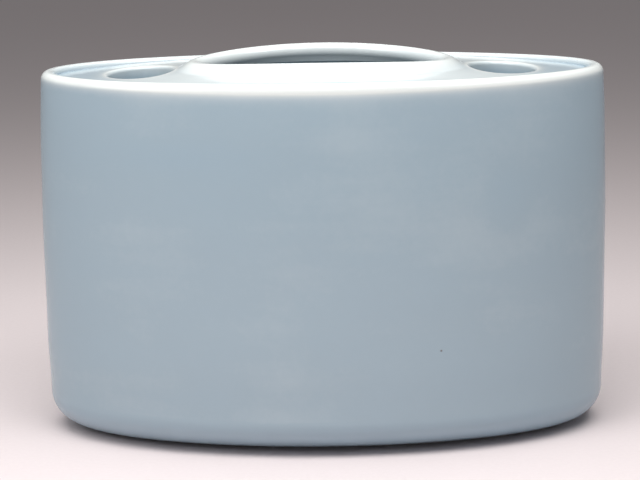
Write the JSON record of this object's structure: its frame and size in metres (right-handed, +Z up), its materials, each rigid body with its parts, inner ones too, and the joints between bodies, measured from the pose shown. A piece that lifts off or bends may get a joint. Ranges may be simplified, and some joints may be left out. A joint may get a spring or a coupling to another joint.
{
  "type": "brush holder pot",
  "caption": "Oval glazed porcelain pot for standing brushes in, closed on top by a deck with a wide collared mouth between narrower oval openings.",
  "frame": {"origin": "on the surface the pot stands on, under the middle of the oval", "axes": "+X along the oval's long axis, +Y towards the back, +Z up"},
  "size_m": [0.14, 0.068, 0.0939],
  "materials": {
    "glaze": "glossy pale sky-blue glaze, whiter where it is thin on edges",
    "inner_glaze": "thin glossy glaze",
    "bare_clay": "matte, fired bare clay"
  },
  "bodies": {
    "root": {"wall": "glaze", "floor_slab": "glaze", "deck": "glaze", "mouth_collar": "glaze", "deck_ledge": "inner_glaze", "floor_coil": "inner_glaze", "foot_ring": "bare_clay"}
  },
  "joints": []
}
